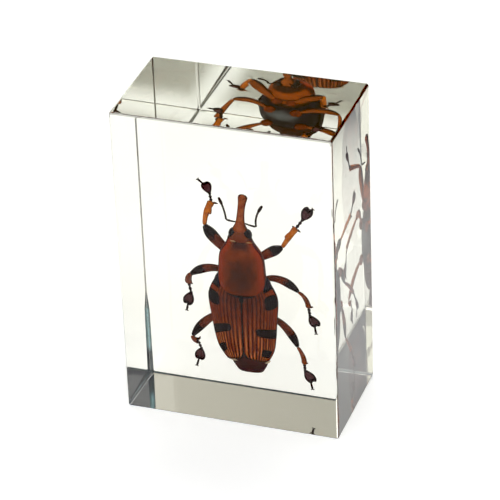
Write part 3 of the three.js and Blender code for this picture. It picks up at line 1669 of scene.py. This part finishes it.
@dataclass
class Studio:
    """The floor, the lights and the camera.

    Attributes:
        floor_reach: half of the paper's width, in metres.
        floor_gap: how far below the block it lies, in metres.
        room: the light of the room.
        wall: the light of the wall behind the block on its left.
        pale_wall: the light of that wall's far end.
        wall_across: where the wall sets in, as the direction's part to the right.
        wall_away: the same as its part to the back.
        wall_up: the same as its part upwards.
        pale_across: where its far end sets in.
        azimuth: the camera's turn from the front, in degrees.
        elevation: its height over the horizon, in degrees.
        roll: its tilt, in degrees.
        distance: its distance from the target, in metres.
        target: the point that it looks at, in metres.
        sensor: the width of its sensor, in millimetres.
        lens: its focal length, in millimetres.
    """

    floor_reach: float = 0.6
    floor_gap: float = 0.0001
    room: Colour = (0.07, 0.075, 0.085)
    wall: Colour = (0.42, 0.41, 0.35)
    pale_wall: Colour = (0.6, 0.58, 0.5)
    wall_across: Band = (0.2, -0.1)
    wall_away: Band = (0.1, 0.6)
    wall_up: Band = (0.15, 0.4)
    pale_across: Band = (-0.2, -0.4)
    boxes: tuple[SoftBox, ...] = (
        SoftBox("overhead_box", (0.0, 0.1, 0.7), 1.2, 8.2),
        SoftBox("front_box", (0.1, -0.45, 0.6), 0.5, 1.3),
    )
    azimuth: float = 19.92
    elevation: float = 31.106
    roll: float = -2.362
    distance: float = 0.5044
    target: Point = (0.000821, 0.0, 0.030065)
    sensor: float = 36.0
    lens: float = 204.87

    def build(self) -> None:
        """Set up the studio."""
        self._lay_floor()
        self._set_world()
        for box in self.boxes:
            box.hang()
        self._place_camera()

    def _lay_floor(self) -> None:
        """Lay the paper under the block."""
        mesh = bmesh.new()
        bmesh.ops.create_grid(mesh, x_segments=1, y_segments=1, size=self.floor_reach)
        data = bpy.data.meshes.new("studio_floor")
        mesh.to_mesh(data)
        mesh.free()
        data.materials.append(FloorFinish(math.radians(self.azimuth)).make())
        floor = add_object("studio_floor", data)
        floor.location.z = -self.floor_gap

    def _set_world(self) -> None:
        """Fill the room with dim light and a pale wall behind the block on its left."""
        world = bpy.data.worlds.new("soft_room")
        bpy.context.scene.world = world
        bench = Bench(world)
        across, away, up = bench.axes(bench.node("ShaderNodeTexCoord", output="Generated"))
        reach = across.rise(*self.wall_across)
        wall = away.rise(*self.wall_away) * reach * up.rise(*self.wall_up)
        pale = bench.mix(across.rise(*self.pale_across), self.wall, self.pale_wall)
        colour = bench.mix(wall, self.room, pale)
        lit = bench.node("ShaderNodeBackground", None, {"Color": colour, "Strength": 1.0})
        bench.node("ShaderNodeOutputWorld", None, {"Surface": lit})

    def _place_camera(self) -> None:
        """Stand the camera at the viewing angle."""
        azimuth, elevation, roll = (math.radians(a) for a in (self.azimuth, self.elevation, self.roll))
        back = Vector((
            math.sin(azimuth) * math.cos(elevation),
            -math.cos(azimuth) * math.cos(elevation),
            math.sin(elevation),
        ))
        level = (-back).cross(Vector((0, 0, 1))).normalized()
        upright = level.cross(-back)
        right = level * math.cos(roll) + upright * math.sin(roll)
        up = upright * math.cos(roll) - level * math.sin(roll)
        data = bpy.data.cameras.new("camera")
        data.lens = self.lens
        data.sensor_width = self.sensor
        data.sensor_fit = "HORIZONTAL"
        data.clip_start = 0.01
        camera = add_object("camera", data)
        turn = Matrix((right, up, back)).transposed()
        camera.matrix_world = Matrix.Translation(Vector(self.target) + back * self.distance) @ turn.to_4x4()
        bpy.context.scene.camera = camera


# ---- Assembly ----


@dataclass
class Weevil:
    """The whole insect."""

    stance: Stance = field(default_factory=Stance)

    def build(self) -> None:
        """Build the trunk, the head and the legs."""
        self._build_trunk()
        self._build_head()
        self._build_legs()

    def _build_trunk(self) -> None:
        """Build the pieces that share the trunk's frame."""
        Pronotum(self.stance).build()
        marks = {
            Side.LEFT: (
                Mark(across=0.62, along=0.168, half_width=0.25, half_length=0.084),
                Mark(across=0.48, along=0.565, half_width=0.31, half_length=0.062, slant=0.22),
                Mark(across=0.54, along=0.845, half_width=0.2, half_length=0.06, slant=0.25),
            ),
            Side.RIGHT: (
                Mark(across=0.59, along=0.168, half_width=0.22, half_length=0.088),
                Mark(across=0.56, along=0.585, half_width=0.36, half_length=0.065, slant=0.12),
                Mark(across=0.5, along=0.87, half_width=0.17, half_length=0.06, slant=0.1),
            ),
        }
        narrow = {
            Side.LEFT: Profile(
                (11.0, 0.76), (12.0, 0.82), (13.5, 0.88), (16.0, 0.93), (20.5, 0.955), (24.0, 0.985),
            ),
            Side.RIGHT: Profile((11.0, 1.0), (16.0, 1.0), (20.0, 0.98), (24.0, 0.985)),
        }
        # Where each case's painted outline shade begins.
        rims = {Side.LEFT: 0.82, Side.RIGHT: 0.83}
        for side in Side:
            Elytron(self.stance, side, marks[side], narrow[side], rim=rims[side]).build()
        for part in (Scutellum, Thorax, Abdomen, Pygidium):
            part(self.stance).build()
        # Painted highlight: two cream slivers at the tips of the wing cases put in the bright glints
        # between the cases and the tail plate.
        glint_sliver = CuticleFinish(
            "tail_glint_sliver", paint(236, 214, 184), paint(206, 176, 140), roughness=0.3,
        ).make()
        for tip in (
            Lens("tail_glint_left", (-2.15, -3.15, 11.4), (0.1, -3.6, 10.9), 0.24, (0.0, 0.0, -0.12)),
            Lens("tail_glint_right", (5.2, -3.2, 11.05), (6.15, -2.65, 11.55), 0.2, (0.05, 0.0, -0.1)),
        ):
            tip.build(glint_sliver)

    def _build_head(self) -> None:
        """Build the head, the eyes and the feelers."""
        Head().build()
        eye = EyeFinish().make()
        for side in Side:
            Eye(side).build(eye)
        # Golden hair tufts at the collar's front corners; their pale colour also paints in the cream glints
        # there, a painted highlight.
        fringe_and_glint = FringeAndGlintFinish("collar_fringe", paint(226, 168, 110), paint(150, 84, 44)).make()
        for glint_tuft in (
            Lens("collar_fringe_left", (-0.4, -3.75, 35.75), (0.8, -3.98, 35.85), 0.17, (0.0, -0.1, 0.1)),
            Lens("collar_fringe_right", (2.65, -3.9, 35.9), (3.8, -3.5, 35.8), 0.17, (0.0, -0.1, 0.1)),
        ):
            glint_tuft.build(fringe_and_glint)
        feeler = CuticleFinish("feeler_cuticle", paint(52, 26, 24), paint(28, 18, 20)).make()
        for antenna in (
            Antenna(
                Side.LEFT, root=(0.1, 0.1, 38.5), elbow=(-1.87, 1.0, 38.35), tip=(-3.37, 2.2, 42.25),
                bow=(0.3, -0.3, 0.0),
            ),
            Antenna(
                Side.RIGHT, root=(1.7, 0.1, 38.4), elbow=(3.67, 1.0, 37.7), tip=(4.7, 2.2, 41.7),
                bow=(-0.45, -0.3, 0.0),
            ),
        ):
            antenna.build(feeler)

    def _build_legs(self) -> None:
        """Build the six legs."""
        finishes = LegFinishes(
            femur=LimbFinish("femur_cuticle", paint(152, 66, 34), paint(112, 48, 28), turn=0.66).make(),
            bright_tibia=LimbFinish(
                "front_tibia_cuticle", paint(226, 128, 40), paint(196, 98, 32), turn=0.94,
            ).make(),
            tibia=LimbFinish("tibia_cuticle", paint(170, 84, 44), paint(128, 58, 34), turn=0.94).make(),
            tarsus=FootFinish("tarsus_cuticle", paint(44, 28, 34), paint(28, 20, 26)).make(),
        )
        for leg in self._legs():
            leg.build(finishes)

    def _legs(self) -> list[Leg]:
        """Lay out the legs as they are set in the resin."""
        return [
            Leg(
                Rank.FRONT, Side.LEFT,
                coxa=(-0.1, 1.5, 30.4), knee=(-5.62, -0.4, 37.15), ankle=(-5.44, 5.6, 39.88),
                pad_root=(-5.78, 6.0, 41.48), pad=(-6.35, 6.3, 42.65), claw=(-7.82, 5.6, 44.16),
                femur_bow=(-0.5, -0.2, 0.0), tibia_bow=(-0.3, 0.0, 0.1),
                femur_width=1.18, tibia_width=0.56, spurs=(-0.3, 0.75), knob=(0.5, 0.6), notch=0.04,
            ),
            Leg(
                Rank.FRONT, Side.RIGHT,
                coxa=(2.6, 1.5, 30.2), knee=(8.44, 0.6, 34.43), ankle=(10.05, 5.7, 36.84),
                pad_root=(11.27, 6.0, 38.64), pad=(11.93, 6.3, 39.82), claw=(13.3, 5.6, 41.23),
                femur_bow=(0.0, -0.2, 0.2), tibia_bow=(-0.05, 0.0, 0.05),
                femur_width=1.0, tibia_width=0.52, spurs=(-0.3, 0.6), knob=(0.42, -0.4),
            ),
            Leg(
                Rank.MIDDLE, Side.LEFT,
                coxa=(-1.34, 2.5, 26.74), knee=(-8.93, 0.4, 26.2), ankle=(-10.45, 5.4, 22.75),
                pad_root=(-10.18, 6.0, 20.29), pad=(-10.72, 6.3, 18.87), claw=(-11.1, 5.6, 16.56),
                femur_bow=(0.0, -0.4, 1.5), tibia_bow=(-0.15, 0.0, 0.1),
                femur_width=0.85, tibia_width=0.6, spurs=(-0.35,),
            ),
            Leg(
                Rank.MIDDLE, Side.RIGHT,
                coxa=(3.66, 2.5, 26.34), knee=(11.21, 0.6, 25.65), ankle=(12.2, 4.7, 21.27),
                pad_root=(12.18, 6.0, 19.05), pad=(12.79, 6.3, 17.89), claw=(13.31, 5.6, 15.59),
                femur_bow=(0.2, -0.4, 1.5), tibia_bow=(0.3, 0.0, 0.3),
                femur_width=0.85, tibia_width=0.46, spurs=(-0.5,),
            ),
            Leg(
                Rank.HIND, Side.LEFT,
                coxa=(-2.06, 2.4, 19.1), knee=(-10.15, 5.2, 11.4), ankle=(-9.0, 4.6, 10.72),
                pad_root=(-8.39, 4.4, 9.27), pad=(-8.68, 4.5, 7.98), claw=(-9.25, 3.6, 5.7),
                femur_bow=(-0.4, 0.0, 0.9), tibia_bow=(-0.2, 0.0, -0.2),
                femur_width=0.85, tibia_width=0.56, spurs=(-0.6,),
            ),
            Leg(
                Rank.HIND, Side.RIGHT,
                coxa=(4.44, 2.4, 19.5), knee=(10.74, 0.6, 14.07), ankle=(11.41, 3.2, 9.83),
                pad_root=(11.36, 4.0, 8.05), pad=(12.11, 4.2, 6.82), claw=(12.7, 3.9, 4.26),
                femur_bow=(0.8, -0.2, 0.9), tibia_bow=(0.3, 0.0, 0.0),
                femur_width=0.85, tibia_width=0.46, spurs=(-0.3,),
            ),
        ]


def set_colour_science(black: Colour = (0.038, 0.043, 0.0442)) -> None:
    """Show the scene's whites as plain whites and its darkest tones as black.

    Args:
        black: the light level of each channel that is shown as black.
    """
    view = bpy.context.scene.view_settings
    view.view_transform = "Standard"
    view.look = "None"
    view.use_curve_mapping = True
    view.curve_mapping.black_level = black
    view.curve_mapping.update()
    rays = bpy.context.scene.cycles
    rays.max_bounces = 24
    rays.glossy_bounces = 14
    rays.transmission_bounces = 20


def write_sizes() -> None:
    """Update the view layer."""
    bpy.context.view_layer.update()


def main() -> None:
    """Build the block, the weevil and the studio, and report each piece."""
    logging.basicConfig(level=logging.INFO, format="%(name)s: %(message)s")
    Studio().build()
    ResinBlock().build()
    Weevil().build()
    set_colour_science()
    write_sizes()


if __name__ == "__main__":
    main()
